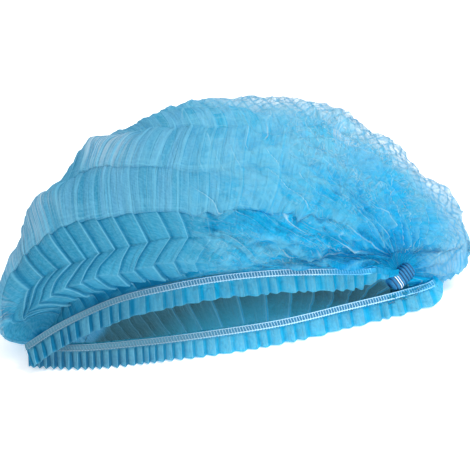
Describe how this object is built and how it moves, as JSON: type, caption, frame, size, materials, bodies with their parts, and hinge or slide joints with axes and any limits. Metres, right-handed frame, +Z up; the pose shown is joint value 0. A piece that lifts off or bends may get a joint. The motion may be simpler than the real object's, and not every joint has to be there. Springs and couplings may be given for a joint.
{
  "type": "disposable clip cap",
  "caption": "Light disposable clip cap of sheer pleated cloth, gathered at its ends, puffed open, with an elastic ruffled rim round a lens-shaped mouth.",
  "frame": {"origin": "on the floor, in the middle of the flattened underside that the cap rests on", "axes": "+Z up, +X from the left gathered end to the right one, and the open mouth faces -Y"},
  "size_m": [0.2976, 0.1497, 0.1245],
  "materials": {
    "nonwoven_cloth": "sheer matte nonwoven",
    "elastic_band": "matte elastic tape",
    "pleat_bundle": "many layers of matte nonwoven"
  },
  "bodies": {
    "root": {"crown": "nonwoven_cloth", "front_elastic": "elastic_band", "back_elastic": "elastic_band", "left_end_gather": "pleat_bundle", "right_end_gather": "pleat_bundle"}
  },
  "joints": []
}
